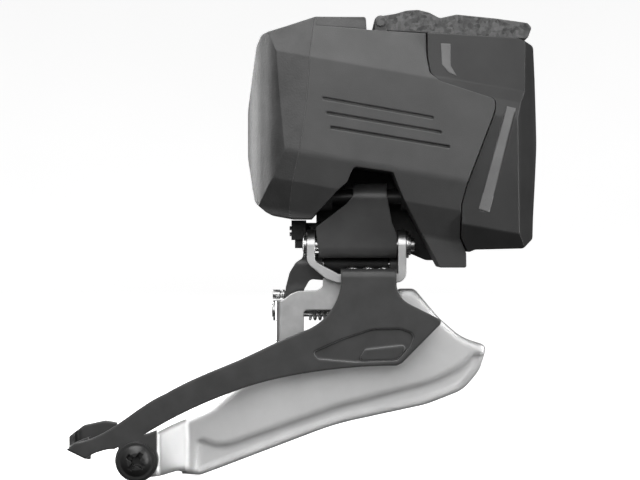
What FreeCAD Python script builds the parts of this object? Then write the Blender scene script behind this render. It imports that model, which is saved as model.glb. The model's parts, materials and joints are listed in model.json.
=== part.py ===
import FreeCAD, Part
import math
import os

# Front derailleur, wireless electric, braze-on mount. Millimetres.
# Frame: origin at the mouth of the mount hole; +X to the front of the bicycle, +Y inboard
# (out of the mount hole, towards the frame), +Z up. Outlines in the XZ plane are (x, z) points,
# outlines in the YZ plane are (y, z) points and outlines in the XY plane are (x, y) points.
# A third number in a point is the radius that rounds that corner.

Vector = FreeCAD.Vector
X_AXIS = Vector(1, 0, 0)
Y_AXIS = Vector(0, 1, 0)
Z_AXIS = Vector(0, 0, 1)
FAR = 200.0                     # longer than any piece, for cutting tools
FIT = 0.03                      # radial running clearance of pins in bushes
PLAY = 0.3                      # side clearance between pieces that move past each other

# ------------------------------------------------------------------ mount and support
MOUNT_HOLE_R = 2.5              # M5 bolt
MOUNT_HOLE_DEPTH = 10.0
MOUNT_FACE_R = 17.0             # curve of the braze-on seat
BOSS_WIDTH = 14.0
BOSS_HEIGHT = 19.0
SUPPORT_BACK_Y = -5.7
SUPPORT_THICK = 5.3

# ------------------------------------------------------------------ parallelogram linkage
LINK_DROP = 12.1                # pivot to pivot, downwards at rest
LINK_LEAN = 2.2                 # pivot to pivot, inboard at rest
OUTER_TOP = (-24.0, 1.0)        # (y, z) of the swing shaft
INNER_TOP = (-14.2, -16.1)      # (y, z) of the inner link's upper pin
OUTER_LOW = (OUTER_TOP[0] + LINK_LEAN, OUTER_TOP[1] - LINK_DROP)
INNER_LOW = (INNER_TOP[0] + LINK_LEAN, INNER_TOP[1] - LINK_DROP)
SHAFT_R = 2.0
PIN_R = 1.7
BUSH_WALL = 0.7
BARREL_TOP_R = 3.5              # outer link round the swing shaft
BARREL_LOW_R = 3.4              # outer link round the outer pivot pin
BARREL_X = (-1.7, 6.9)          # ends of the top barrel
LINK_X = (-11.0, 9.5)           # widest part of the outer link
INNER_TOP_R = 2.9
INNER_LOW_R = 2.7
INNER_BARREL_X = (-9.0, 7.7)    # the support's barrel between the inner link's arms
INNER_ARM_X = (-19.2, 4.1)      # outer faces of the inner link's arms at the lower pin
SPRING_WIRE_R = 0.38
SPRING_PITCH = 1.3
SPRING_X = (-12.6, -0.8)

# ------------------------------------------------------------------ housing
WALL = 1.6
FRONT_Y = -39.0
BACK_Y = -4.0
SPLIT_Y = -16.0                 # between the outer and inner covers
CREASE_SLOPE = 10.0             # degrees, the creases run down to the front
DOCK_GAP = 0.3                  # battery to housing
TOP_LEFT_Z = 42.5               # top face beside the strip
TOP_RIGHT_Z = 40.3              # top face at the front of the battery
TOP_X = (1.6, 39.0)
STRIP_TOP_Z = 45.8
STRIP_X = (-11.2, 1.4)
STRIP_WALL = 0.9
STRIP_SIDE = 1.2
ROOF_Z = 43.2                   # housing roof below the strip, at the button
SHAFT_SEAL_WALL = 1.4
POST_R = 1.9
SCREW_R = 1.0
SCREW_HEAD_R = 1.8
SCREW_POSTS = [(-8.0, 39.4), (12.8, 38.0), (21.6, -2.6), (-8.2, 22.0)]
CAP_POSTS = [(-10.2, 30.0), (-10.2, 5.0)]       # (y, z)

# ------------------------------------------------------------------ gear train, axes along X
MODULE = 0.6
SECTOR_TEETH = 40               # teeth of the whole wheel that the sector is part of
IDLER_TEETH = 24
PINION_TEETH = 12
GEAR_X = -18.6
GEAR_THICK = 3.0
SECTOR_FROM = -14.0             # degrees from straight up, towards inboard
SECTOR_TO = 58.0                # degrees from straight up, towards outboard
GEAR_PLATE_X = (-14.0, -12.0)
PLATE_FOOT_WALL = 0.9           # plate left below its bearing
PLATE_FOOT_Y = -28.5            # outboard end of the plate's foot
MOTOR_R = 6.0
GEARHEAD_LENGTH = 9.0
MOTOR_LENGTH = 14.0
SECTOR_PITCH_R = MODULE * SECTOR_TEETH / 2
IDLER_PITCH_R = MODULE * IDLER_TEETH / 2
PINION_PITCH_R = MODULE * PINION_TEETH / 2
IDLER_Z = OUTER_TOP[1] + SECTOR_PITCH_R + IDLER_PITCH_R
PINION_Z = IDLER_Z + IDLER_PITCH_R + PINION_PITCH_R

# ------------------------------------------------------------------ cage
SHEET = 2.1                     # bracket sheet
PLATE = 1.4                     # outer cage plate
INNER_PLATE = 1.2
CAGE_GAP = 12.4                 # between the plates' facing sides
BRACKET_FACE_Y = OUTER_LOW[0] + 2.6             # outboard side of the bracket's drop plate
OUTER_PLATE_Y = BRACKET_FACE_Y + SHEET - CAGE_GAP - PLATE   # outboard side of the outer plate
INNER_PLATE_Y = BRACKET_FACE_Y + SHEET          # outboard side of the inner plate
INNER_DISH = 3.2                # depth of the inner plate's rolled rim
EAR_HALF = 3.85                 # half the width of the bracket's ears
NECK_TOP = -6.1                 # top of the folded neck, from the outer pivot
TAIL_SCREW = (-56.0, -54.05)    # from the outer pivot's height
TAIL_HEAD_R = 4.75
TAIL_SHANK_R = 2.5

# ------------------------------------------------------------------ latch and battery
LATCH_PIVOT = (5.1, 44.6)
LATCH_Y = (-32.0, -10.5)
LATCH_BARREL_R = 1.6
LATCH_TOOTH_X = (34.9, 36.3)
LATCH_TOOTH_DEPTH = 1.0
CONTACT_Z = [8.0, 12.0, 16.0]
CONTACT_R = 0.8

# ------------------------------------------------------------------ button
BUTTON_AT = (-5.2, -21.0)       # (x, y)
BUTTON_R = 2.4
BUTTON_TRAVEL = 0.6
BUTTON_FLANGE = 0.5


# ================================================================== helpers
def in_xz(y):
    return lambda a, b: Vector(a, y, b)


def in_yz(x):
    return lambda a, b: Vector(x, a, b)


def in_xy(z):
    return lambda a, b: Vector(a, b, z)


def rounded_wire(points, place):
    """Closed polygon whose corners are rounded by each point's third number."""
    corners = []
    count = len(points)
    for index, point in enumerate(points):
        radius = point[2] if len(point) > 2 else 0.0
        here = Vector(point[0], point[1], 0)
        before = Vector(points[index - 1][0], points[index - 1][1], 0) - here
        after = Vector(points[(index + 1) % count][0], points[(index + 1) % count][1], 0) - here
        angle = before.getAngle(after)
        if radius <= 0 or abs(math.pi - angle) < 0.01:
            corners.append((here, None, here))
            continue
        room = 0.49 * min(before.Length, after.Length)
        reach = min(radius / math.tan(angle / 2), room)
        radius = reach * math.tan(angle / 2)
        before.normalize()
        after.normalize()
        middle = before + after
        middle.normalize()
        centre = here + middle * (radius / math.sin(angle / 2))
        corners.append((here + before * reach, centre - middle * radius, here + after * reach))
    edges = []
    for index, (start, middle, end) in enumerate(corners):
        if middle is not None:
            arc = Part.Arc(place(start.x, start.y), place(middle.x, middle.y), place(end.x, end.y))
            edges.append(arc.toShape())
        following = corners[(index + 1) % count][0]
        if (following - end).Length > 1e-6:
            line = Part.LineSegment(place(end.x, end.y), place(following.x, following.y))
            edges.append(line.toShape())
    return Part.Wire(edges)


def mixed_wire(runs, place):
    """Closed outline of runs that follow each other: two points make a line, more make a curve."""
    edges = []
    for run in runs:
        spots = [place(a, b) for a, b in run]
        if len(spots) == 2:
            edges.append(Part.LineSegment(spots[0], spots[1]).toShape())
        else:
            curve = Part.BSplineCurve()
            curve.interpolate(spots)
            edges.append(curve.toShape())
    return Part.Wire(edges)


def slab(wire, direction):
    """Solid swept from a closed flat wire along a vector."""
    return Part.Face(wire).extrude(direction)


def xz_slab(points, y_from, y_to):
    return slab(rounded_wire(points, in_xz(y_from)), Vector(0, y_to - y_from, 0))


def yz_slab(points, x_from, x_to):
    return slab(rounded_wire(points, in_yz(x_from)), Vector(x_to - x_from, 0, 0))


def xy_slab(points, z_from, z_to):
    return slab(rounded_wire(points, in_xy(z_from)), Vector(0, 0, z_to - z_from))


def rod_x(radius, x_from, x_to, centre):
    """Cylinder along X about a (y, z) centre."""
    return Part.makeCylinder(radius, x_to - x_from, Vector(x_from, centre[0], centre[1]), X_AXIS)


def rod_y(radius, y_from, y_to, centre):
    """Cylinder along Y about an (x, z) centre."""
    return Part.makeCylinder(radius, y_to - y_from, Vector(centre[0], y_from, centre[1]), Y_AXIS)


def rod_z(radius, z_from, z_to, centre):
    """Cylinder along Z about an (x, y) centre."""
    return Part.makeCylinder(radius, z_to - z_from, Vector(centre[0], centre[1], z_from), Z_AXIS)


def block(x_span, y_span, z_span):
    size = (x_span[1] - x_span[0], y_span[1] - y_span[0], z_span[1] - z_span[0])
    return Part.makeBox(size[0], size[1], size[2], Vector(x_span[0], y_span[0], z_span[0]))


def hull_x(first, first_r, second, second_r, x_from, x_to):
    """Two cylinders along X joined by their outer tangents."""
    gap = math.hypot(second[0] - first[0], second[1] - first[1])
    heading = math.atan2(second[1] - first[1], second[0] - first[0])
    lean = math.acos((first_r - second_r) / gap)
    corners = []
    for side in (1, -1):
        angle = heading + side * lean
        across = (math.cos(angle), math.sin(angle))
        pair = [(first[0] + first_r * across[0], first[1] + first_r * across[1]),
                (second[0] + second_r * across[0], second[1] + second_r * across[1])]
        corners += pair if side == 1 else pair[::-1]
    body = yz_slab(corners, x_from, x_to)
    body = body.fuse(rod_x(first_r, x_from, x_to, first))
    return body.fuse(rod_x(second_r, x_from, x_to, second)).removeSplitter()


def joined(shapes):
    """One solid of several that touch or overlap."""
    whole = shapes[0].fuse(shapes[1:])
    return whole.removeSplitter()


def group(shapes):
    """Separate solids of one node."""
    return Part.makeCompound(shapes)


def domed_head(radius, height, base, direction):
    """Low domed screw or rivet head standing on base."""
    ball_r = (radius ** 2 + height ** 2) / (2 * height)
    centre = base + direction * (height - ball_r)
    ball = Part.makeSphere(ball_r, centre)
    return ball.common(Part.makeCylinder(radius, height * 2, base, direction))


def gear_wire(teeth, x, centre, turn):
    """Closed involute gear outline; turn is the angle of one tooth's middle, from +Y to +Z."""
    pitch_r = MODULE * teeth / 2
    base_r = pitch_r * math.cos(math.radians(20))
    root_r = pitch_r - 1.25 * MODULE
    tip_r = pitch_r + 0.95 * MODULE
    backlash = 0.05 / pitch_r
    half = math.pi / (2 * teeth) - backlash
    involute = lambda radius: math.sqrt((radius / base_r) ** 2 - 1) - math.acos(base_r / radius)
    at_pitch = involute(pitch_r)
    start_r = max(base_r, root_r) + 0.02
    radii = [start_r + (tip_r - start_r) * step / 3 for step in range(4)]
    flank = [(radius, half + at_pitch - involute(radius)) for radius in radii]
    spots = []
    for tooth in range(teeth):
        middle = turn + 2 * math.pi * tooth / teeth
        profile = [(root_r, -flank[0][1] - 0.02)] + [(radius, -angle) for radius, angle in flank]
        profile += [(radius, angle) for radius, angle in flank[::-1]] + [(root_r, flank[0][1] + 0.02)]
        for radius, angle in profile:
            spots.append(Vector(x, centre[0] + radius * math.cos(middle + angle),
                                centre[1] + radius * math.sin(middle + angle)))
    return Part.makePolygon(spots + [spots[0]])


def gear(teeth, centre, turn, x_from, x_to):
    return slab(gear_wire(teeth, x_from, centre, turn), Vector(x_to - x_from, 0, 0))


def ring_x(outer_r, inner_r, x_from, x_to, centre):
    return rod_x(outer_r, x_from, x_to, centre).cut(rod_x(inner_r, x_from - 1, x_to + 1, centre))


def coil_x(mean_r, wire_r, pitch, x_from, x_to, centre):
    """Coil spring along X."""
    helix = Part.makeHelix(pitch, x_to - x_from, mean_r)
    section = Part.Wire(Part.makeCircle(wire_r, Vector(mean_r, 0, 0), Y_AXIS))
    coil = Part.Wire(helix.Edges).makePipeShell([section], True, True)
    coil.rotate(Vector(0, 0, 0), Y_AXIS, 90)
    coil.translate(Vector(x_from, centre[0], centre[1]))
    return coil


# ================================================================== housing form
def dock_line(shift):
    """Line between housing and battery, from the top down, moved forward by shift."""
    points = [(16.4, 47.0), (16.4, 35.6, 2.0), (17.1, 31.4, 2.0), (19.6, 29.4, 3.0),
              (33.3, 24.9, 1.6), (33.0, 21.8, 6.0), (26.0, 3.6, 8.0), (24.8, -1.2, 5.0),
              (24.8, -9.3, 2.0), (26.5, -13.2, 0.8)]
    return [(point[0] + shift,) + point[1:] for point in points]


def top_line_z(x):
    """Height of the housing's top face, which falls to the front."""
    slope = (TOP_RIGHT_Z - TOP_LEFT_Z) / (TOP_X[1] - TOP_X[0])
    return TOP_LEFT_Z + slope * (x - TOP_X[0])


def housing_outline():
    left = [(-17.0, -4.5, 2.5), (-23.0, -3.4, 4.0), (-26.3, -0.6, 3.0), (-28.3, 11.0, 12.0),
            (-28.3, 22.5, 12.0), (-25.9, 38.5, 2.0), (-24.6, 41.2, 1.5), (-18.6, 43.2, 4.0),
            (STRIP_X[0], STRIP_TOP_Z, 2.0), (STRIP_X[1], STRIP_TOP_Z, 0.6),
            (TOP_X[0], TOP_LEFT_Z)]
    dock = dock_line(0)[1:]
    dock.insert(0, (dock[0][0], top_line_z(dock[0][0])))
    lobe = [(26.6, -16.8, 0.5), (20.0, -16.8, 0.5), (13.4, -4.5)]
    return left + dock + lobe


def crease_profile(inset):
    """Cross-section across the creases, as (y, z) at x = 0."""
    front = FRONT_Y + inset
    back = BACK_Y - inset
    return [(-31.5, 60), (-33.0 + inset, 45.0, 1.0), (-37.8 + inset, 33.2, 1.5),
            (front, 9.2, 6.0), (-37.2 + inset, 1.7, 1.5), (-32.8 + inset, -6.0, 3.0),
            (-30.5 + inset, -22.0), (back - 4.0, -22.0), (back, -12.0, 3.0),
            (back, 36.0, 6.0), (back - 4.0, 60)]


def plan_outline(inset):
    """Plan that rounds the rear end."""
    front = FRONT_Y - 1.0 + inset
    back = BACK_Y - inset
    left = -28.6 + inset
    return [(60, front), (-19.5, front, 12.0), (left, -29.0, 18.0), (left, -13.0, 6.0),
            (-22.5, back, 4.0), (60, back)]


def housing_form(inset):
    """Outer form of the housing, or its cavity when inset is a wall."""
    wire = rounded_wire(housing_outline(), in_xz(-60))
    if inset > 0:
        wire = wire.makeOffset2D(-inset)
    front_view = slab(wire, Vector(0, 60, 0))
    run = Vector(math.cos(math.radians(CREASE_SLOPE)), 0, -math.sin(math.radians(CREASE_SLOPE)))
    creases = slab(rounded_wire(crease_profile(inset), in_yz(0)), run * 120)
    creases.translate(run * -60)
    plan = xy_slab(plan_outline(inset), -60, 80)
    return front_view.common(creases).common(plan)


def notch_outline(grow):
    """Opening in which the outer link swings."""
    points = [(-17.0, -9.6), (-5.8, 2.4, 3.0), (-3.3, 4.6, 1.5), (-1.7, 8.3, 1.2),
              (8.0, 6.9, 1.0), (9.4, 3.4, 3.0), (10.8, 0.2, 1.0), (16.1, -9.6)]
    if grow == 0:
        return rounded_wire(points, in_xz(-60))
    return rounded_wire(points, in_xz(-60)).makeOffset2D(grow)


def seam_region(side):
    """Everything behind (side -1) or in front of (side 1) the rear cap's seam."""
    seam = [[(-17.8, -40), (-17.5, -4.4)], [(-17.5, -4.4), (-16.9, 3.8), (-15.2, 11.8), (-13.2, 26.6),
            (-12.5, 35.7), (-11.3, 45.1)], [(-11.3, 45.1), (-10.9, 60)]]
    far = side * FAR
    closing = [[(-10.9, 60), (far, 60)], [(far, 60), (far, -40)], [(far, -40), (-17.8, -40)]]
    return slab(mixed_wire(seam + closing, in_xz(-60)), Vector(0, 80, 0))


def cover_posts(y_from, y_to, radius):
    return [rod_y(radius, y_from, y_to, centre) for centre in SCREW_POSTS]


def cap_posts(x_from, x_to, radius):
    return [rod_x(radius, x_from, x_to, centre) for centre in CAP_POSTS]


# ================================================================== housing pieces
def make_shells():
    """Outer cover, inner cover, rear cap and top strip, cut from one form."""
    form = housing_form(0)
    cavity = housing_form(WALL)
    strip_zone = xz_slab([(STRIP_X[0] + 0.2, 43.5), (TOP_X[0] + 1, 42.6), (TOP_X[0] + 1, 60),
                          (STRIP_X[0] + 0.2, 60)], -60, 20)
    strip_inside = block((STRIP_X[0] + STRIP_SIDE, TOP_X[0] - STRIP_SIDE), (-32.0, -7.0),
                         (40, STRIP_TOP_Z - STRIP_WALL))
    top_strip = form.common(strip_zone)
    bore = rod_z(BUTTON_R + 0.15, 40, 50, BUTTON_AT)
    light_bore = rod_z(0.8, 40, 50, (BUTTON_AT[0] + 4.5, BUTTON_AT[1]))
    top_strip = top_strip.cut(strip_inside).cut([bore, light_bore])
    body = form.cut(cavity).cut(strip_zone)
    roof_zone = xz_slab([(STRIP_X[0], 43.5), (TOP_X[0], 42.5), (TOP_X[0], 41.0),
                         (STRIP_X[0], 42.0)], -60, 20)
    body = body.fuse(form.common(roof_zone))
    outboard = block((-FAR, FAR), (-FAR, SPLIT_Y), (-FAR, FAR))
    notch = slab(notch_outline(0), Vector(0, 90, 0))
    pocket_outer = slab(notch_outline(WALL), Vector(0, 60 + SPLIT_Y, 0))
    pocket = pocket_outer.common(form)
    body = body.fuse(pocket).cut(notch).removeSplitter()

    rear_cap = body.common(seam_region(-1))
    cap_bosses = joined(cap_posts(-30, GEAR_PLATE_X[0], POST_R)).common(form)
    rear_cap = rear_cap.fuse(cap_bosses).cut(cap_posts(-FAR, 0, SCREW_R)).removeSplitter()
    rear_cap = rear_cap.cut(cap_posts(-FAR, -26.6, SCREW_HEAD_R + 0.15))

    front = body.common(seam_region(1))
    posts = joined(cover_posts(-60, SPLIT_Y, POST_R)).common(form)
    outer_cover = front.common(outboard).fuse(posts)
    outer_cover = outer_cover.cut(cover_posts(FRONT_Y + 6.5, SPLIT_Y + 1, SCREW_R))
    seal_bore = rod_x(SHAFT_R + SHAFT_SEAL_WALL, -13.4, 14.8, OUTER_TOP)
    foot_z = OUTER_TOP[1] - SHAFT_R - BUSH_WALL - PLATE_FOOT_WALL
    foot_slot = block((GEAR_PLATE_X[0] - 1, GEAR_PLATE_X[1] + FIT), (PLATE_FOOT_Y - 0.1, SPLIT_Y + 1),
                      (foot_z - FIT, OUTER_TOP[1]))
    outer_cover = outer_cover.cut([seal_bore, foot_slot]).cut(contact_slot()).cut(styling_grooves())

    inner_posts = joined(cover_posts(SPLIT_Y, 0, POST_R)).common(form)
    inner_cover = front.cut(outboard).fuse(inner_posts)
    boss_hole = block((-BOSS_WIDTH / 2 - 0.2, BOSS_WIDTH / 2 + 0.2), (-9, 5),
                      (-BOSS_HEIGHT / 2 - 0.2, BOSS_HEIGHT / 2 + 0.2))
    bottom_slot = block((-11.3, 20.8), (SPLIT_Y - 1, SUPPORT_BACK_Y + 0.2), (-17.5, 1.5))
    lobe_relief = block((-11.3, 30.0), (SPLIT_Y - 0.2, 0), (-30, -4.4))
    inner_cover = inner_cover.cut(boss_hole).cut(bottom_slot).cut(lobe_relief)
    inner_cover = inner_cover.cut(cover_posts(SPLIT_Y - 1, 5, SCREW_R))
    inner_cover = inner_cover.cut(cover_posts(BACK_Y - 1.2, 5, SCREW_HEAD_R + 0.15))
    return rear_cap, outer_cover, inner_cover, top_strip


def contact_slot():
    """Opening in the dock wall for the contact block."""
    return block((18, 36), (-27.4, -20.6), (CONTACT_Z[0] - 2.6, CONTACT_Z[-1] + 2.6))


def styling_grooves():
    """Plain slanted grooves on the outer cover's flat face."""
    grooves = []
    for index in range(3):
        z_start = 25.5 - 3.6 * index
        points = [(-9.5 + index, z_start, 0.3), (18.0 + 2 * index, z_start - 4.9, 0.3),
                  (18.0 + 2 * index, z_start - 5.7, 0.3), (-9.5 + index, z_start - 0.8, 0.3)]
        grooves.append(xz_slab(points, -60, FRONT_Y + 1.2))
    return grooves


def make_main_support():
    """Forged support: mount boss, web, shaft arm, inner link barrel and limit-screw peg."""
    web_front = SUPPORT_BACK_Y - SUPPORT_THICK
    web = xz_slab([(-11.0, 18.0, 3.0), (-11.0, -8.0, 2.0), (-7.5, -17.0, 2.0), (6.5, -17.0, 2.0),
                   (10.0, -13.4, 4.0), (14.1, -13.6, 3.0), (17.8, -15.2, 2.0), (20.4, -15.2, 1.0),
                   (20.4, -4.0, 2.0), (21.0, 4.0, 4.0), (14.0, 18.0, 4.0)],
                  web_front, SUPPORT_BACK_Y)
    boss = xz_slab([(-BOSS_WIDTH / 2, -BOSS_HEIGHT / 2, 3.0), (BOSS_WIDTH / 2, -BOSS_HEIGHT / 2, 3.0),
                    (BOSS_WIDTH / 2, BOSS_HEIGHT / 2, 3.0), (-BOSS_WIDTH / 2, BOSS_HEIGHT / 2, 3.0)],
                   SUPPORT_BACK_Y, 5.0)
    seat = Part.makeCylinder(MOUNT_FACE_R, 60, Vector(0, -MOUNT_FACE_R, -30), Z_AXIS)
    boss = boss.common(seat)
    barrel = rod_x(INNER_TOP_R, INNER_BARREL_X[0], INNER_BARREL_X[1], INNER_TOP)
    barrel_foot = block(INNER_BARREL_X, (INNER_TOP[0], web_front), (INNER_TOP[1] - 0.8, -8.0))
    shaft_boss = rod_x(SHAFT_R + BUSH_WALL + 1.6, 14.9, 18.4, OUTER_TOP)
    arm = block((14.9, 18.4), (OUTER_TOP[0], web_front), (OUTER_TOP[1] - 2.6, OUTER_TOP[1] + 3.4))
    rear_arm = block((GEAR_PLATE_X[1], -7.0), (-15.8, web_front), (4.8, 17.0))
    peg = make_peg()
    support = joined([web, boss, barrel, barrel_foot, shaft_boss, arm, rear_arm, peg])
    support = support.cut(rod_y(MOUNT_HOLE_R, -MOUNT_HOLE_DEPTH, 10, (0, 0)))
    support = support.cut(rod_x(PIN_R + FIT, -FAR, FAR, INNER_TOP))
    support = support.cut(rod_x(SHAFT_R + BUSH_WALL, 0, 30, OUTER_TOP))
    support = support.cut(limit_screw_bore())
    support = support.cut(plate_screw_rods(SCREW_R, -30, -4))
    return support.cut(cover_posts(-60, 10, POST_R + 0.2))


PEG_X = (-17.4, -13.6)
PEG_Y = (-17.6, -12.4)
LIMIT_AT = (-15.0, -7.6)        # (y, z) of the limit screw
LIMIT_R = 1.3


def make_peg():
    """Peg below the housing that holds the limit screw, with its narrower foot."""
    wide = block(PEG_X, PEG_Y, (-9.9, -4.8))
    foot = block((PEG_X[0] + 0.9, PEG_X[1] - 0.8), (PEG_Y[0] + 1.2, PEG_Y[1] - 1.0), (-12.0, -9.9))
    tie = block((PEG_X[0] + 0.4, -10.0), (-15.0, SUPPORT_BACK_Y - SUPPORT_THICK), (-9.6, -5.4))
    return joined([wide, foot, tie])


def limit_screw_bore():
    return rod_x(LIMIT_R + 0.05, PEG_X[0] - 1, PEG_X[1] + 1, LIMIT_AT)


def make_limit_screw():
    """Set screw with a slotted end that faces the rear."""
    screw = rod_x(LIMIT_R, PEG_X[0] - 0.5, PEG_X[1] - 0.6, LIMIT_AT)
    slot = block((PEG_X[0] - 1, PEG_X[0] + 0.5), (LIMIT_AT[0] - 2, LIMIT_AT[0] + 2),
                 (LIMIT_AT[1] - 0.25, LIMIT_AT[1] + 0.25))
    return screw.cut(slot)


PLATE_SCREWS = [(-13.4, 7.0), (-13.4, 14.6)]    # (y, z)


def plate_screw_rods(radius, x_from, x_to):
    return [rod_x(radius, x_from, x_to, centre) for centre in PLATE_SCREWS]


def make_gear_plate():
    """Upright plate that carries the idler, the gearhead and the shaft's rear bearing."""
    foot_z = OUTER_TOP[1] - SHAFT_R - BUSH_WALL - PLATE_FOOT_WALL
    plate = yz_slab([(PLATE_FOOT_Y, foot_z, 2.0), (-8.2, foot_z, 1.0), (-8.2, 36.0, 3.0),
                     (-20.0, 38.4, 2.0), (-31.0, 37.6, 3.0), (-33.5, 20.0, 4.0)],
                    GEAR_PLATE_X[0], GEAR_PLATE_X[1])
    bearing = rod_x(SHAFT_R + BUSH_WALL, -30, 0, OUTER_TOP)
    idler_hole = rod_x(1.5, -30, 0, (OUTER_TOP[0], IDLER_Z))
    motor_hole = rod_x(2.2, -30, 0, (OUTER_TOP[0], PINION_Z))
    plate = plate.cut([bearing, idler_hole, motor_hole])
    return plate.cut(plate_screw_rods(SCREW_R, -30, 0)).cut(cap_posts(-30, 0, SCREW_R))


def small_screws(centres, head_x, tip_x, heads_towards):
    """Screws along X; the heads stand at head_x on the side given by heads_towards."""
    screws = []
    for centre in centres:
        low, high = sorted((head_x, tip_x))
        shank = rod_x(SCREW_R, low, high, centre)
        head_span = sorted((head_x, head_x + 1.1 * heads_towards))
        head = rod_x(SCREW_HEAD_R, head_span[0], head_span[1], centre)
        socket_x = head_x + 0.5 * heads_towards
        socket_span = sorted((socket_x, head_x + 2 * heads_towards))
        screws.append(head.fuse(shank).cut(rod_x(0.8, socket_span[0], socket_span[1], centre)))
    return group(screws)


def make_housing_screws():
    screws = []
    for centre in SCREW_POSTS:
        shank = rod_y(SCREW_R, FRONT_Y + 8.0, BACK_Y - 1.2, centre)
        head = rod_y(SCREW_HEAD_R, BACK_Y - 1.2, BACK_Y - 0.1, centre)
        socket = rod_y(0.8, BACK_Y - 0.8, BACK_Y + 1, centre)
        screws.append(head.fuse(shank).cut(socket))
    return group(screws)


# ================================================================== gear train
def make_drive_motor():
    start = GEAR_PLATE_X[1] + GEARHEAD_LENGTH
    centre = (OUTER_TOP[0], PINION_Z)
    can = rod_x(MOTOR_R, start, start + MOTOR_LENGTH, centre)
    flats = block((start - 1, start + MOTOR_LENGTH + 1), (-FAR, FAR),
                  (PINION_Z - MOTOR_R + 0.9, PINION_Z + MOTOR_R - 0.9))
    tail = rod_x(2.4, start + MOTOR_LENGTH, start + MOTOR_LENGTH + 0.9, centre)
    return can.common(flats).fuse(tail)


def make_gearhead():
    start = GEAR_PLATE_X[1]
    centre = (OUTER_TOP[0], PINION_Z)
    case = rod_x(MOTOR_R - 0.1, start, start + GEARHEAD_LENGTH, centre)
    groove = ring_x(MOTOR_R + 1, MOTOR_R - 0.5, start + 5.0, start + 5.6, centre)
    return case.cut(groove).cut(rod_x(1.5 + FIT, start - 1, start + 5.0, centre))


def make_output_pinion():
    centre = (OUTER_TOP[0], PINION_Z)
    teeth = gear(PINION_TEETH, centre, -math.pi / 2, GEAR_X, GEAR_X + GEAR_THICK)
    shaft = rod_x(1.5, GEAR_X, GEAR_PLATE_X[1] + 4.6, centre)
    return teeth.fuse(shaft)


def make_idler_gear():
    centre = (OUTER_TOP[0], IDLER_Z)
    teeth = gear(IDLER_TEETH, centre, -math.pi / 2 + math.pi / IDLER_TEETH, GEAR_X, GEAR_X + GEAR_THICK)
    hub = rod_x(2.9, GEAR_X + GEAR_THICK, GEAR_PLATE_X[0] - 0.2, centre)
    wheel = teeth.fuse(hub)
    dish = ring_x(IDLER_PITCH_R - 1.6, 2.9, GEAR_X - 1, GEAR_X + 0.8, centre)
    return wheel.cut(dish).cut(rod_x(1.5 + FIT, -FAR, FAR, centre))


def make_idler_pin():
    centre = (OUTER_TOP[0], IDLER_Z)
    pin = rod_x(1.5, GEAR_X - 0.2, GEAR_PLATE_X[1], centre)
    return pin.fuse(rod_x(2.3, GEAR_X - 0.9, GEAR_X - 0.2, centre))


def make_sector_gear():
    wheel = gear(SECTOR_TEETH, OUTER_TOP, math.pi / 2, GEAR_X, GEAR_X + GEAR_THICK)
    span = []
    for step in range(7):
        angle = math.radians(90 + SECTOR_FROM + (SECTOR_TO - SECTOR_FROM) * step / 6)
        reach = SECTOR_PITCH_R * 1.6
        span.append((OUTER_TOP[0] + reach * math.cos(angle), OUTER_TOP[1] + reach * math.sin(angle)))
    wedge = yz_slab([OUTER_TOP] + span, GEAR_X - 1, GEAR_X + GEAR_THICK + 1)
    hub = rod_x(SHAFT_R + 1.2, GEAR_X, GEAR_PLATE_X[0] - 0.2, OUTER_TOP)
    sector = wheel.common(wedge).fuse(hub)
    return sector.cut(rod_x(SHAFT_R, -FAR, FAR, OUTER_TOP))


def make_swing_shaft():
    shaft = rod_x(SHAFT_R, GEAR_X, 19.9, OUTER_TOP)
    groove = ring_x(SHAFT_R + 1, SHAFT_R - 0.4, 18.9, 19.4, OUTER_TOP)
    return shaft.cut(groove)


def make_shaft_clip():
    clip = ring_x(SHAFT_R + 1.5, SHAFT_R - 0.4, 18.9, 19.4, OUTER_TOP)
    mouth = block((18, 20), (OUTER_TOP[0] - 1.2, OUTER_TOP[0] + 1.2), (OUTER_TOP[1], OUTER_TOP[1] + 6))
    return clip.cut(mouth)


def make_shaft_bushes():
    rear = ring_x(SHAFT_R + BUSH_WALL, SHAFT_R + FIT, GEAR_PLATE_X[0], GEAR_PLATE_X[1], OUTER_TOP)
    front = ring_x(SHAFT_R + BUSH_WALL, SHAFT_R + FIT, 14.9, 18.4, OUTER_TOP)
    return group([rear, front])


def make_shaft_seals():
    """Rubber rings in the pocket's side walls."""
    whole = ring_x(SHAFT_R + SHAFT_SEAL_WALL, SHAFT_R + 0.08, -FAR / 4, FAR / 4, OUTER_TOP)
    left = whole.common(block((-10.4, -6.9), (-FAR, FAR), (-FAR, FAR)))
    right = whole.common(block((10.6, 13.6), (-FAR, FAR), (-FAR, FAR)))
    return group([left, right])


# ================================================================== electronics
def make_control_board():
    board = xz_slab([(-6.0, 24.0, 1.0), (-6.0, 12.8, 1.0), (9.0, 11.4, 1.0), (22.5, 11.4, 1.0),
                     (25.5, 19.5, 1.0), (20.0, 23.6, 1.0)], -33.6, -32.4)
    chips = [block((-2.0, 4.0), (-32.4, -31.2), (15.0, 21.0)),
             block((7.0, 11.0), (-32.4, -31.5), (16.0, 20.0)),
             block((14.0, 20.0), (-32.4, -31.6), (13.4, 15.4)),
             block((14.0, 16.4), (-32.4, -31.0), (17.5, 21.5))]
    return joined([board] + chips).cut(cover_posts(-60, 10, POST_R + 0.2))


def make_contact_block():
    """Plastic block that fills the dock wall's opening."""
    zone = block((18, 36), (-27.2, -20.8), (CONTACT_Z[0] - 2.4, CONTACT_Z[-1] + 2.4))
    front = dock_line(0)
    back = dock_line(-WALL - 1.4)
    points = [(point[0], point[1]) for point in front] + [(point[0], point[1]) for point in back[::-1]]
    plug = xz_slab(points, -60, 0).common(zone)
    return plug.cut(pin_rods(CONTACT_R, 0, 60))


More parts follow.
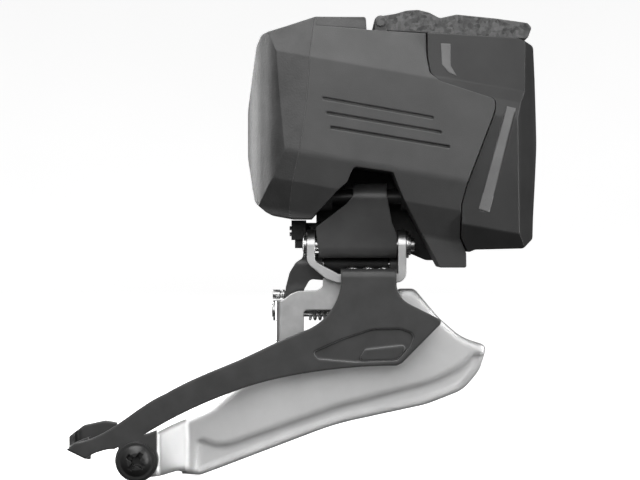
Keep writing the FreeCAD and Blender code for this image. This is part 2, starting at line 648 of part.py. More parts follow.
def pin_rods(radius, x_from, x_to):
    return [rod_x(radius, x_from, x_to, (-24.0, height)) for height in CONTACT_Z]


def dock_x(z):
    """Place of the straight slanted stretch of the dock line at height z."""
    low = (26.0, 3.6)
    high = (33.0, 21.8)
    return low[0] + (high[0] - low[0]) * (z - low[1]) / (high[1] - low[1])


def make_contact_pins():
    """Sprung pins whose rounded tips meet the battery's contacts."""
    pins = []
    for height in CONTACT_Z:
        tip = dock_x(height) - CONTACT_R * 0.4
        pin = rod_x(CONTACT_R, tip - 6.0, tip - CONTACT_R, (-24.0, height))
        pins.append(pin.fuse(Part.makeSphere(CONTACT_R, Vector(tip - CONTACT_R, -24.0, height))))
    return group(pins)


def make_battery_contacts():
    """Plates set in the battery's wall."""
    plates = []
    for height in CONTACT_Z:
        points = [(dock_x(height - 1.2) + DOCK_GAP, height - 1.2),
                  (dock_x(height + 1.2) + DOCK_GAP, height + 1.2),
                  (dock_x(height + 1.2) + DOCK_GAP + 0.8, height + 1.2),
                  (dock_x(height - 1.2) + DOCK_GAP + 0.8, height - 1.2)]
        plates.append(xz_slab(points, -25.6, -22.4))
    return group(plates)


# ================================================================== battery
def battery_outline():
    dock = dock_line(DOCK_GAP)[1:]
    dock.insert(0, (dock[0][0], top_line_z(dock[0][0])))
    right = [(28.6, -12.3, 1.0), (40.4, -12.0, 1.2), (43.0, -9.6, 1.2), (43.2, -4.0, 8.0),
             (44.4, 14.0, 30.0), (43.7, 30.0, 8.0), (43.2, 38.4, 1.2), (TOP_X[1], TOP_RIGHT_Z, 1.0)]
    return dock[:-1] + [(26.9, -13.0, 0.5)] + right


def battery_profile(inset):
    front = FRONT_Y + 1.6 + inset
    back = BACK_Y - 1.0 - inset
    return [(front + 2.2, 60), (front + 1.8, 34.0, 1.5), (front + 0.7, 31.2, 0.6), (front, 27.0, 3.0),
            (front + 0.4, -1.5, 1.0), (front + 3.6, -8.0, 2.0), (front + 5.0, -24), (back - 4, -24),
            (back, -8.0, 3.0), (back, 30.0, 4.0), (back - 3.0, 60)]


def battery_form(inset):
    wire = rounded_wire(battery_outline(), in_xz(-60))
    if inset > 0:
        wire = wire.makeOffset2D(-inset)
    front_view = slab(wire, Vector(0, 60, 0))
    run = Vector(math.cos(math.radians(CREASE_SLOPE)), 0, -math.sin(math.radians(CREASE_SLOPE)))
    profile = slab(rounded_wire(battery_profile(inset), in_yz(0)), run * 120)
    profile.translate(run * -60)
    front = FRONT_Y - 2 + inset
    back = BACK_Y - 1.0 - inset
    right = 44.6 - inset
    plan = xy_slab([(0, front), (37.5, front + 2.0, 10.0), (right, -31.5, 10.0), (right, -11.0, 6.0),
                    (38.5, back, 4.0), (0, back)], -60, 80)
    return front_view.common(profile).common(plan)


def make_battery_case():
    case = battery_form(0).cut(battery_form(WALL))
    pocket = latch_pocket()
    floor = block((LATCH_TOOTH_X[0] - 1.8, LATCH_TOOTH_X[1] + 1.8), (-26.5, -15.5), (36.2, 41.5))
    floor = floor.common(battery_form(0))
    case = case.fuse(floor).cut(pocket)
    grip = xz_slab([(29.1, -3.3, 0.8), (31.9, -2.3, 0.8), (38.7, 23.0, 0.8), (36.3, 24.2, 0.8)],
                   -60, FRONT_Y + 2.0)
    return case.cut(grip).cut(make_battery_contacts())


def latch_pocket():
    return block((LATCH_TOOTH_X[0] - 0.8, LATCH_TOOTH_X[1] + 0.4), (-25.5, -16.5),
                 (top_line_z(LATCH_TOOTH_X[0]) - LATCH_TOOTH_DEPTH - 0.7, 60))


def make_battery_cell():
    """Pouch cell, laid in the case with room round it."""
    points = [(36.4, 20.0, 1.0), (40.0, 20.0, 1.0), (40.0, -7.6, 1.0), (29.2, -7.6, 1.0),
              (28.6, -2.0, 1.0)]
    return xz_slab(points, -33.0, -8.5).cut(make_battery_contacts())


def make_contact_seal():
    """Rubber frame round the contacts, in the gap between dock and battery."""
    points = [(dock_x(4.4), 4.4), (dock_x(19.6), 19.6), (dock_x(19.6) + DOCK_GAP, 19.6),
              (dock_x(4.4) + DOCK_GAP, 4.4)]
    frame = xz_slab(points, -28.6, -19.4)
    hole = block((0, 60), (-27.6, -20.4), (5.4, 18.6))
    return frame.cut(hole)


# ================================================================== latch and button
def make_latch_lever():
    """Lever over the battery, with its hump, tooth and barrel."""
    under = 0.3
    bottom_left = top_line_z(7.0) + under
    bottom_right = top_line_z(38.0) + under
    outline = [(5.0, bottom_left + 0.1), (7.0, bottom_left), (38.0, bottom_right), (41.9, bottom_right - 0.2, 0.8),
               (42.9, 43.2, 0.8), (41.9, 44.4, 1.0), (34.0, 45.5, 3.0), (24.1, 46.5, 2.0),
               (19.9, 45.6, 1.5), (17.3, 47.0, 2.0), (14.4, 47.7, 2.5), (11.6, 47.5, 2.0),
               (8.8, 46.7, 2.0), (5.1, 46.1)]
    body = xz_slab(outline, LATCH_Y[0], LATCH_Y[1])
    barrel = rod_y(LATCH_BARREL_R, LATCH_Y[0], LATCH_Y[1], LATCH_PIVOT)
    tooth = block(LATCH_TOOTH_X, (-24.0, -18.0), (top_line_z(LATCH_TOOTH_X[0]) - LATCH_TOOTH_DEPTH, 44))
    lever = joined([body, barrel, tooth])
    scoop = xz_slab([(9.0, bottom_left + 0.9, 0.5), (33.0, bottom_right + 1.6, 0.5),
                     (33.0, 40.0), (9.0, 40.0)], LATCH_Y[0] + 2.5, LATCH_Y[1] - 2.5)
    gap = rod_y(LATCH_BARREL_R + 0.6, -22.2, -19.8, LATCH_PIVOT)
    return lever.cut([scoop, gap]).cut(rod_y(0.8 + FIT, -FAR, FAR, LATCH_PIVOT))


LUG_THICK = 1.2


def latch_lugs():
    """Lugs on the top face that hold the latch pin."""
    lugs = []
    for y_from in (LATCH_Y[0] - PLAY - LUG_THICK, LATCH_Y[1] + PLAY):
        disc = rod_y(1.5, y_from, y_from + LUG_THICK, LATCH_PIVOT)
        foot = block((LATCH_PIVOT[0] - 1.5, LATCH_PIVOT[0] + 1.5), (y_from, y_from + LUG_THICK),
                     (top_line_z(LATCH_PIVOT[0]) - 1.0, LATCH_PIVOT[1]))
        lugs.append(disc.fuse(foot).cut(rod_y(0.8, -FAR, FAR, LATCH_PIVOT)))
    return lugs


def make_latch_pin():
    pin = rod_y(0.8, LATCH_Y[0] - PLAY - LUG_THICK, LATCH_Y[1] + PLAY + LUG_THICK + 0.4, LATCH_PIVOT)
    head = rod_y(1.25, LATCH_Y[0] - PLAY - LUG_THICK - 0.5, LATCH_Y[0] - PLAY - LUG_THICK, LATCH_PIVOT)
    return pin.fuse(head)


def make_latch_spring():
    """Torsion spring round the latch pin, in the gap of the lever's barrel."""
    turns = []
    for index in range(4):
        y = -21.9 + 0.55 * index
        turns.append(Part.makeTorus(1.2, 0.25, Vector(LATCH_PIVOT[0], y, LATCH_PIVOT[1]), Y_AXIS))
    return group(turns)


def make_mode_button():
    """Round button with a flange that keeps it below the strip."""
    under = STRIP_TOP_Z - STRIP_WALL - 0.05
    top = STRIP_TOP_Z + 0.7
    button = rod_z(BUTTON_R, under - BUTTON_FLANGE, top, BUTTON_AT)
    flange = rod_z(BUTTON_R + 0.7, under - BUTTON_FLANGE, under, BUTTON_AT)
    dish = Part.makeSphere(6.0, Vector(BUTTON_AT[0], BUTTON_AT[1], top + 5.6))
    return button.fuse(flange).cut(dish)


def make_button_spring():
    """Dome contact under the button, drawn pressed down so that the button's travel stays free."""
    top = STRIP_TOP_Z - STRIP_WALL - 0.05 - BUTTON_FLANGE - BUTTON_TRAVEL - 0.05
    return rod_z(1.7, ROOF_Z, top, BUTTON_AT).cut(rod_z(1.1, ROOF_Z - 1, top + 1, BUTTON_AT))


def make_status_light():
    centre = (BUTTON_AT[0] + 4.5, BUTTON_AT[1])
    return rod_z(0.8, STRIP_TOP_Z - STRIP_WALL - 0.6, STRIP_TOP_Z + 0.1, centre)


# ================================================================== links
def make_outer_link():
    """Broad link, narrow round the swing shaft and wide round the outer pivot pin."""
    hull = hull_x(OUTER_TOP, BARREL_TOP_R, OUTER_LOW, BARREL_LOW_R, -20, 20)
    low = OUTER_LOW[1]
    outline = [(BARREL_X[0], OUTER_TOP[1] + 4.5), (BARREL_X[0], OUTER_TOP[1] + 0.2, 1.5),
               (-3.4, OUTER_TOP[1] - 1.8, 1.5), (LINK_X[0], low + 4.5, 0.6),
               (LINK_X[0], low + 3.0, 1.0), (LINK_X[0] + 0.6, low - 1.4, 1.0),
               (LINK_X[0] + 0.6, low - 4.5), (LINK_X[1], low - 4.5), (LINK_X[1], low + 2.4, 3.0),
               (LINK_X[1] - 1.3, low + 5.6, 3.0), (BARREL_X[1], OUTER_TOP[1] + 0.1, 1.0),
               (BARREL_X[1], OUTER_TOP[1] + 4.5)]
    link = hull.common(xz_slab(outline, -60, 20))
    relief = xz_slab([(BARREL_X[0], OUTER_TOP[1] - 4.4, 1.0), (BARREL_X[1] - 1.0, OUTER_TOP[1] - 4.4, 1.0),
                      (LINK_X[1] - 3.0, low + 4.2, 1.0), (LINK_X[0] + 4.0, low + 4.2, 1.0)],
                     OUTER_TOP[0] + 1.0, 0)
    link = link.cut(relief).cut(rod_x(SHAFT_R, -FAR, FAR, OUTER_TOP))
    return link.cut(rod_x(PIN_R + BUSH_WALL, -FAR, FAR, OUTER_LOW))


def make_link_bushes():
    length = 4.0
    start = LINK_X[0] + 0.6
    rear = ring_x(PIN_R + BUSH_WALL, PIN_R + FIT, start, start + length, OUTER_LOW)
    front = ring_x(PIN_R + BUSH_WALL, PIN_R + FIT, LINK_X[1] - length, LINK_X[1], OUTER_LOW)
    return group([rear, front])


EAR_X = (LINK_X[0] - PLAY - SHEET, LINK_X[1] + PLAY + SHEET)    # outer faces of the ears
WASHER = 0.7


def make_outer_pivot_pin():
    """Headed pin through both ears, with a groove for the clip."""
    pin = rod_x(PIN_R, EAR_X[0] - WASHER - 0.2, EAR_X[1] + WASHER + 1.5, OUTER_LOW)
    head = domed_head(2.6, 0.5, Vector(EAR_X[0] - WASHER, OUTER_LOW[0], OUTER_LOW[1]), X_AXIS * -1)
    groove = ring_x(PIN_R + 1, PIN_R - 0.4, EAR_X[1] + WASHER, EAR_X[1] + WASHER + 0.5, OUTER_LOW)
    return pin.fuse(head).cut(groove)


def make_outer_pivot_washers():
    rear = ring_x(3.1, PIN_R, EAR_X[0] - WASHER, EAR_X[0], OUTER_LOW)
    front = ring_x(3.4, PIN_R, EAR_X[1], EAR_X[1] + WASHER, OUTER_LOW)
    return group([rear, front])


def clip_ring(x_from, centre):
    """Open retaining clip in a pin's groove."""
    clip = ring_x(PIN_R + 1.0, PIN_R - 0.4, x_from, x_from + 0.5, centre)
    mouth = block((x_from - 1, x_from + 2), (centre[0] - 1.0, centre[0] + 1.0), (centre[1], centre[1] + 6))
    return clip.cut(mouth)


def make_inner_link():
    """Link with two arms round the support's barrel above and two arms round the spring below."""
    hull = hull_x(INNER_TOP, INNER_TOP_R, INNER_LOW, INNER_LOW_R, -40, 40)
    high = INNER_TOP[1]
    low = INNER_LOW[1]
    left, right = INNER_ARM_X
    barrel_left = INNER_BARREL_X[0] - PLAY
    barrel_right = INNER_BARREL_X[1] + PLAY
    outline = [(-14.4, high + 4.0), (-14.4, high + 1.6, 1.6), (-16.3, high + 0.4, 1.5),
               (-17.9, high - 2.2, 2.0), (left + 0.3, high - 6.0, 3.0), (left, low + 2.5, 2.0), (left, low - 4.0),
               (left + 4.9, low - 4.0), (left + 4.9, low + 5.2, 2.5), (-12.6, high - 3.9, 1.5),
               (-8.0, high - 4.3, 0.5), (-8.0, low + 5.2, 0.5), (right - 3.3, low + 3.8, 0.5),
               (right - 3.3, low - 4.0), (right, low - 4.0), (right, low + 3.2, 1.0),
               (barrel_right + 3.2, high - 4.0, 1.0), (barrel_right + 3.2, high + 4.0)]
    link = hull.common(xz_slab(outline, -60, 20))
    barrel_room = rod_x(INNER_TOP_R + PLAY, barrel_left, barrel_right, INNER_TOP)
    above = block((barrel_left, barrel_right), (-60, 20), (INNER_TOP[1], 20))
    link = link.cut([barrel_room, above])
    thin = block((barrel_left, barrel_right), (-60, INNER_TOP[0] - 1.2), (-60, INNER_TOP[1]))
    link = link.cut(thin)
    return link.cut([rod_x(PIN_R, -FAR, FAR, INNER_TOP), rod_x(PIN_R + FIT, -FAR, FAR, INNER_LOW),
                     stud_rod(0.9)])


STUD_Z = 4.2                    # above the inner lower pin


def stud_rod(radius):
    centre = (INNER_LOW[0] - 0.7, INNER_LOW[1] + STUD_Z)
    return rod_x(radius, INNER_ARM_X[0] - 1, INNER_ARM_X[0] + 3.0, centre)


def make_spring_stud():
    """Stud pressed into the rear arm, with a knurled head."""
    centre = (INNER_LOW[0] - 0.7, INNER_LOW[1] + STUD_Z)
    shank = rod_x(0.9, INNER_ARM_X[0], INNER_ARM_X[0] + 3.0, centre)
    head = rod_x(1.2, INNER_ARM_X[0] - 3.1, INNER_ARM_X[0], centre)
    waist = ring_x(3, 0.95, INNER_ARM_X[0] - 1.2, INNER_ARM_X[0] - 0.6, centre)
    return head.cut(waist).fuse(shank)


def make_inner_upper_pin():
    return rod_x(PIN_R, -14.4, INNER_BARREL_X[1] + PLAY + 3.2, INNER_TOP)


REAR_EAR_X = (INNER_ARM_X[0] - PLAY - SHEET, INNER_ARM_X[1] + PLAY + SHEET)


def make_inner_lower_pin():
    pin = rod_x(PIN_R, REAR_EAR_X[0] - 0.9, REAR_EAR_X[1] + 0.4, INNER_LOW)
    groove = ring_x(PIN_R + 1, PIN_R - 0.4, REAR_EAR_X[0] - 0.6, REAR_EAR_X[0] - 0.1, INNER_LOW)
    head = domed_head(2.5, 0.6, Vector(REAR_EAR_X[1], INNER_LOW[0], INNER_LOW[1]), X_AXIS)
    return pin.fuse(head).cut(groove)


def make_return_spring():
    """Torsion spring round the inner lower pin; it takes up the play of the gears."""
    radius = PIN_R + 0.25 + SPRING_WIRE_R
    return coil_x(radius, SPRING_WIRE_R, SPRING_PITCH, SPRING_X[0], SPRING_X[1], INNER_LOW)


# ================================================================== cage
def low_points(points):
    """Outline points whose heights are given from the outer pivot."""
    return [(point[0], point[1] + OUTER_LOW[1]) + tuple(point[2:]) for point in points]


def make_cage_bracket():
    """Stamped bracket: two ears round the outer link, a base, a drop plate and two rear ears."""
    base_top = NECK_TOP - PLATE
    base_low = base_top - SHEET
    left, right = EAR_X
    bail = [(left, 8), (left, -4.6, 2.6), (-8.6, -8.6, 3.0), (-5.8, base_low, 1.5),
            (right, base_low, 2.6), (right, 8), (right - SHEET, 8), (right - SHEET, base_top, 0.6),
            (-5.2, base_top, 1.0), (left + SHEET, -4.2, 1.0), (left + SHEET, 8)]
    y_from = OUTER_LOW[0] - EAR_HALF
    y_to = BRACKET_FACE_Y + SHEET
    strip = xz_slab(low_points(bail), y_from, y_to)
    rounding = hull_x(OUTER_LOW, EAR_HALF, (OUTER_LOW[0], OUTER_LOW[1] - 20), EAR_HALF + 0.01, -40, 40)
    below = block((-60, 60), (y_from, y_to), (-60, OUTER_LOW[1] + base_top + 1.5))
    strip = strip.common(rounding.fuse(below))
    drop = [(-9.3, base_low + 1.0), (-9.3, -10.9, 1.2), (-10.8, -11.8, 1.0), (-15.7, -11.9, 1.5),
            (-17.6, -12.7, 1.5), (-19.8, -14.4, 1.2), (REAR_EAR_X[0], -14.3), (REAR_EAR_X[0], -29.0, 2.0),
            (-17.6, -32.0, 3.0), (-14.2, -30.0, 2.0), (-14.2, -16.8, 1.0), (-6.0, -16.8, 2.0),
            (-2.0, -24.0, 2.0), (6.0, -24.0, 2.0), (REAR_EAR_X[1], -19.5, 1.0),
            (REAR_EAR_X[1], -14.0, 2.0), (9.0, -11.0, 2.0), (9.0, base_low + 1.0)]
    drop_plate = xz_slab(low_points(drop), BRACKET_FACE_Y, BRACKET_FACE_Y + SHEET)
    ears = []
    for x_from, foot_z in ((REAR_EAR_X[0], -29.0), (REAR_EAR_X[1] - SHEET, -19.5)):
        ears.append(rear_ear(x_from, foot_z + OUTER_LOW[1]))
    bracket = joined([strip, drop_plate] + ears)
    bracket = bracket.cut(rod_x(PIN_R, -FAR, FAR, OUTER_LOW)).cut(rod_x(PIN_R, -FAR, FAR, INNER_LOW))
    bracket = soften_rear_edge(bracket)
    return bracket.cut(neck_rivet_rods(0.9)).cut(plate_rivet_rods(0.9))


def rear_ear(x_from, foot_z):
    """Ear that turns inboard from the drop plate's edge round the inner lower pin."""
    tip = INNER_LOW[0]
    high = INNER_LOW[1] + 2.7
    back = BRACKET_FACE_Y + SHEET
    points = [(BRACKET_FACE_Y, high, 0.5), (tip, high), (tip, INNER_LOW[1] - 2.7),
              (back, INNER_LOW[1] - 5.5, 2.0), (back, foot_z), (BRACKET_FACE_Y, foot_z)]
    plate = yz_slab(points, x_from, x_from + SHEET)
    return plate.fuse(rod_x(2.7, x_from, x_from + SHEET, INNER_LOW))


def soften_rear_edge(bracket):
    """Rounds the long bend between drop plate and rear ear."""
    for edge in bracket.Edges:
        box = edge.BoundBox
        at_corner = abs(box.XMin - REAR_EAR_X[0]) < 0.01 and abs(box.XMax - REAR_EAR_X[0]) < 0.01
        at_face = abs(box.YMin - BRACKET_FACE_Y) < 0.01 and abs(box.YMax - BRACKET_FACE_Y) < 0.01
        if at_corner and at_face and box.ZLength > 8:
            return bracket.makeFillet(SHEET * 0.8, [edge])
    return bracket


NECK_RIVETS = [(-1.8, 1.6), (2.3, 1.9), (6.4, 1.6)]     # (x, outboard of the outer pivot)
PLATE_RIVETS = [(-17.8, -28.8), (3.0, -22.6)]           # (x, height from the outer pivot)


def neck_rivet_rods(radius):
    base = OUTER_LOW[1] + NECK_TOP
    return [rod_z(radius, base - PLATE - SHEET - 0.4, base + 0.1, (x, OUTER_LOW[0] - out))
            for x, out in NECK_RIVETS]


def plate_rivet_rods(radius):
    return [rod_y(radius, BRACKET_FACE_Y - 0.1, INNER_PLATE_Y + INNER_PLATE + 0.4, (x, z + OUTER_LOW[1]))
            for x, z in PLATE_RIVETS]


def make_neck_rivets():
    rivets = []
    top = OUTER_LOW[1] + NECK_TOP
    for rod, (x, out) in zip(neck_rivet_rods(0.9), NECK_RIVETS):
        head = domed_head(1.6, 0.8, Vector(x, OUTER_LOW[0] - out, top), Z_AXIS)
        rivets.append(rod.fuse(head))
    return group(rivets)


def make_plate_rivets():
    rivets = []
    for rod, (x, z) in zip(plate_rivet_rods(0.9), PLATE_RIVETS):
        head = domed_head(1.7, 0.6, Vector(x, BRACKET_FACE_Y, z + OUTER_LOW[1]), Y_AXIS * -1)
        rivets.append(rod.fuse(head))
    return group(rivets)


def outer_plate_runs():
    """Outline of the outer plate, heights from the outer pivot."""
    return [
        [(-4.75, -2.0), (-4.75, -7.9)],
        [(-4.75, -7.9), (-5.25, -12.15), (-8.0, -17.4), (-14.25, -21.65)],
        [(-14.25, -21.65), (-21.5, -24.8), (-30.0, -28.8), (-36.75, -31.6), (-48.85, -37.4)],
        [(-48.85, -37.4), (-54.6, -40.65), (-61.0, -45.15), (-71.5, -49.7)],
        [(-71.5, -49.7), (-73.6, -51.4)],
        [(-73.6, -51.4), (-68.9, -53.7)],
        [(-68.9, -53.7), (-67.4, -52.7), (-61.6, -51.2)],
        [(-61.6, -51.2), (-54.6, -47.9)],
        [(-54.6, -47.9), (-46.3, -43.15), (-32.6, -37.15)],
        [(-32.6, -37.15), (-21.5, -33.7), (-10.0, -31.65), (-1.25, -30.7), (9.2, -30.3)],
        [(9.2, -30.3), (10.6, -29.6)],
        [(10.6, -29.6), (20.0, -20.1)],
        [(20.0, -20.1), (20.3, -19.2), (19.7, -18.5)],
        [(19.7, -18.5), (12.5, -14.9)],
        [(12.5, -14.9), (10.2, -12.9), (9.2, -10.2)],
        [(9.2, -10.2), (9.2, -2.0)],
        [(9.2, -2.0), (-4.75, -2.0)]]


def make_outer_cage_plate():
    """Flat plate with a folded neck, a round lobe for the tail screw and a folded tail."""
    runs = [low_points(run) for run in outer_plate_runs()]
    face_y = OUTER_PLATE_Y
    plate = slab(mixed_wire(runs, in_xz(face_y)), Vector(0, PLATE, 0))
    screw = (TAIL_SCREW[0], TAIL_SCREW[1] + OUTER_LOW[1])
    lobe = rod_y(5.4, face_y, face_y + PLATE, screw)
    web = xz_slab(low_points([(-60.6, -50.0), (-51.0, -46.5), (-51.0, -53.5), (-60.6, -54.0)]),
                  face_y, face_y + PLATE)
    plate = joined([plate, lobe, web])
    top = OUTER_LOW[1] + NECK_TOP
    fold_end = OUTER_LOW[0] + 2.0
    neck_x = (-4.75, 9.2)
    plate = plate.cut(block((-40, 40), (-60, 0), (top - 4.0, 40)))
    bend = yz_slab([(face_y, top - 4.0), (face_y, top, 2.6), (fold_end, top), (fold_end, top - PLATE),
                    (face_y + PLATE, top - PLATE, 1.2), (face_y + PLATE, top - 4.0)], neck_x[0], neck_x[1])
    tail = make_tail_fold(face_y)
    plate = joined([plate, bend, tail])
    recess = xz_slab(low_points([(-12.0, -27.0, 1.5), (-4.5, -23.7, 3.0), (3.0, -21.2, 2.0),
                                 (10.0, -21.0, 3.0), (13.8, -22.3, 1.5), (12.6, -25.6, 2.0),
                                 (9.4, -29.0, 1.5), (-1.3, -29.4, 2.0), (-10.5, -28.6, 1.0)]),
                     face_y - 1, face_y + 0.45)
    island = xz_slab(low_points([(-0.6, -29.2, 0.8), (1.3, -26.2, 0.8), (12.4, -25.0, 0.8),
                                 (9.2, -28.8, 1.0)]), face_y, face_y + 0.46)
    plate = plate.cut(recess.cut(island))
    return plate.cut(rod_y(TAIL_SHANK_R, -60, 0, screw)).cut(neck_rivet_rods(0.9))


def make_tail_fold(face_y):
    """End of the plate, folded inboard and back to a short inner wall."""
    reach = 10.6
    end = -73.6
    points = [(-68.0, face_y), (end, face_y + 3.0, 2.5), (end, face_y + reach, 3.0), (-62.0, face_y + reach),
              (-62.0, face_y + reach - PLATE), (end + PLATE, face_y + reach - PLATE, 1.6),
              (end + PLATE, face_y + 3.6, 1.4), (-67.6, face_y + PLATE)]
    fold = xy_slab(points, OUTER_LOW[1] - 60, OUTER_LOW[1] - 40)
    view = xz_slab(low_points([(-73.7, -48.6, 1.0), (-70.5, -46.2, 2.0), (-65.0, -45.0, 2.0),
                               (-61.5, -45.6, 1.0), (-61.5, -51.4, 1.0), (-68.9, -53.7, 1.0),
                               (-73.7, -52.4, 1.0)]), -60, 0)
    front_view = xz_slab(low_points([(-73.7, -51.2), (-71.5, -49.7), (-66.0, -47.4), (-66.0, -54.0),
                                     (-68.9, -53.7), (-73.7, -51.6)]), -60, face_y + 5.0)
    behind = view.common(block((-90, 0), (face_y + 5.0, 0), (-90, 0)))
    return fold.common(front_view.fuse(behind))


def inner_plate_outline():
    """Outline of the inner plate up to its tail, heights from the outer pivot."""
    return [(-47.0, -46.2), (-37.6, -42.0, 8.0), (-32.0, -37.2, 6.0), (-24.5, -30.0, 8.0),
            (-13.0, -25.4, 12.0), (3.4, -23.4, 4.0), (8.4, -20.0, 3.0), (9.8, -11.4, 1.5),
            (14.4, -11.4, 2.0), (20.6, -18.8, 25.0), (26.6, -24.0, 14.0), (33.2, -26.1, 1.6),
            (31.4, -32.4, 10.0), (27.0, -37.6, 9.0), (17.6, -41.3, 25.0), (-6.0, -46.4, 70.0),
            (-36.6, -58.0, 5.0), (-41.0, -59.6, 4.0), (-47.0, -59.2)]


def make_inner_cage_plate():
    """Dished plate whose tail is set outboard to meet the outer plate."""
    face_y = INNER_PLATE_Y
    wire = rounded_wire(low_points(inner_plate_outline()), in_xz(face_y))
    solid = slab(wire, Vector(0, INNER_DISH, 0))
    solid = round_face_edges(solid, face_y, 1.1)
    hollow = slab(wire.makeOffset2D(-INNER_PLATE), Vector(0, INNER_DISH, 0))
    hollow.translate(Vector(0, INNER_PLATE, 0))
    step = xz_slab(low_points(lower_step_outline()), face_y - 1, face_y + 0.45)
    dish = solid.cut(hollow).cut(step)
    tab_y = OUTER_PLATE_Y + PLATE
    joggle = [(-61.2, tab_y), (-50.6, tab_y, 1.5), (-44.4, face_y + 0.2, 2.0), (-42.0, face_y + 0.2),
              (-42.0, face_y + INNER_PLATE), (-45.0, face_y + INNER_PLATE, 2.0),
              (-51.2, tab_y + INNER_PLATE, 1.5), (-61.2, tab_y + INNER_PLATE)]
    tail = xy_slab(joggle, OUTER_LOW[1] - 70, OUTER_LOW[1] - 30)
    view = [(-42.0, -44.2), (-48.5, -46.2, 2.0), (-54.6, -48.6, 2.0), (-60.6, -51.6, 3.0),
            (-60.4, -56.6, 3.0), (-57.0, -58.9, 3.0), (-51.5, -58.3, 1.5), (-46.5, -57.9, 3.0),
            (-42.0, -59.3)]
    tail = tail.common(xz_slab(low_points(view), -60, 0))
    end_wall = block((-47.2, -47.0 + INNER_PLATE + 0.1), (face_y + 0.1, 0), (-90, 0))
    plate = joined([dish.cut(end_wall), tail])
    screw = (TAIL_SCREW[0], TAIL_SCREW[1] + OUTER_LOW[1])
    return plate.cut(rod_y(TAIL_SHANK_R, -60, 0, screw)).cut(plate_rivet_rods(0.9))


def lower_step_outline():
    """Shallow stepped band along the inner plate's lower edge."""
    return [(-41.4, -50.0, 1.0), (-37.0, -51.8, 3.0), (-33.5, -51.6, 3.0), (-5.0, -41.6, 30.0),
            (19.0, -35.4, 20.0), (27.0, -31.4, 8.0), (29.6, -28.4), (50.0, -28.4), (50.0, -80.0),
            (-44.0, -80.0)]


def round_face_edges(solid, y, radius):
    """Rounds the edges of the face that lies at y."""
    for face in solid.Faces:
        box = face.BoundBox
        if abs(box.YMin - y) < 0.001 and abs(box.YMax - y) < 0.001:
            return solid.makeFillet(radius, face.Edges)
    return solid


def make_tail_screw():
    """Pan-head screw with a cross recess."""
    face_y = OUTER_PLATE_Y
    centre = (TAIL_SCREW[0], TAIL_SCREW[1] + OUTER_LOW[1])
    head = domed_head(TAIL_HEAD_R, 3.4, Vector(centre[0], face_y, centre[1]), Y_AXIS * -1)
    rim = rod_y(TAIL_HEAD_R, face_y - 1.6, face_y, centre)
    dome = head.common(block((-90, 0), (face_y - 2.9, face_y + 1), (-90, 0)))
    shank = rod_y(TAIL_SHANK_R, face_y, face_y + PLATE + INNER_PLATE + 4.6, centre)
    screw = joined([dome, rim, shank])
    arms = []
    for turn in (35, 125):
        arm = block((-2.5, 2.5), (face_y - 10, face_y - 1.2), (-0.6, 0.6))
        arm.rotate(Vector(0, 0, 0), Y_AXIS, turn)
        arm.translate(Vector(centre[0], 0, centre[1]))
        arms.append(arm)
    arms.append(rod_y(1.1, face_y - 10, face_y - 1.0, centre))
    return screw.cut(arms)


def make_tail_nut():
    start = OUTER_PLATE_Y + PLATE + INNER_PLATE
    centre = Vector(TAIL_SCREW[0], start, TAIL_SCREW[1] + OUTER_LOW[1])
    corners = []
    for index in range(6):
        angle = math.radians(60 * index)
        corners.append((centre.x + 4.3 * math.cos(angle), centre.z + 4.3 * math.sin(angle), 0.4))
    nut = xz_slab(corners, start, start + 3.2)
    return nut.cut(rod_y(TAIL_SHANK_R, -60, 0, (centre.x, centre.z)))


# ================================================================== build
def build():
    rear_cap, outer_cover, inner_cover, top_strip = make_shells()
    lugs = latch_lugs()
    nodes = {
        "main_support": make_main_support(),
        "inner_cover": inner_cover.fuse(lugs[1]),
        "outer_cover": outer_cover.fuse(lugs[0]),
        "rear_cap": rear_cap,
        "top_strip": top_strip,
        "housing_screws": make_housing_screws(),
        "cap_screws": small_screws(CAP_POSTS, -26.6, GEAR_PLATE_X[1], -1),
        "gear_plate": make_gear_plate(),
        "gear_plate_screws": small_screws(PLATE_SCREWS, GEAR_PLATE_X[0], -6.0, -1),
        "drive_motor": make_drive_motor(),
        "gearhead": make_gearhead(),
        "output_pinion": make_output_pinion(),
        "idler_gear": make_idler_gear(),
        "idler_pin": make_idler_pin(),
        "sector_gear": make_sector_gear(),
        "swing_shaft": make_swing_shaft(),
        "shaft_clip": make_shaft_clip(),
        "shaft_bushes": make_shaft_bushes(),
        "shaft_seals": make_shaft_seals(),
        "control_board": make_control_board(),
        "contact_block": make_contact_block(),
        "contact_pins": make_contact_pins(),
        "contact_seal": make_contact_seal(),
        "battery_case": make_battery_case(),
        "battery_cell": make_battery_cell(),
        "battery_contacts": make_battery_contacts(),
        "latch_lever": make_latch_lever(),
        "latch_pin": make_latch_pin(),
        "latch_spring": make_latch_spring(),
        "mode_button": make_mode_button(),
        "button_spring": make_button_spring(),
        "status_light": make_status_light(),
        "limit_screw": make_limit_screw(),
        "outer_link": make_outer_link(),
        "link_bushes": make_link_bushes(),
        "outer_pivot_pin": make_outer_pivot_pin(),
        "outer_pivot_washers": make_outer_pivot_washers(),
        "outer_pivot_clip": clip_ring(EAR_X[1] + WASHER, OUTER_LOW),
        "inner_link": make_inner_link(),
        "spring_stud": make_spring_stud(),
        "inner_upper_pin": make_inner_upper_pin(),
        "inner_lower_pin": make_inner_lower_pin(),
        "inner_pin_clip": clip_ring(REAR_EAR_X[0] - 0.6, INNER_LOW),
        "return_spring": make_return_spring(),
        "cage_bracket": make_cage_bracket(),
        "outer_cage_plate": make_outer_cage_plate(),
        "inner_cage_plate": make_inner_cage_plate(),
        "neck_rivets": make_neck_rivets(),
        "plate_rivets": make_plate_rivets(),
        "tail_screw": make_tail_screw(),
        "tail_nut": make_tail_nut(),
    }
    return nodes


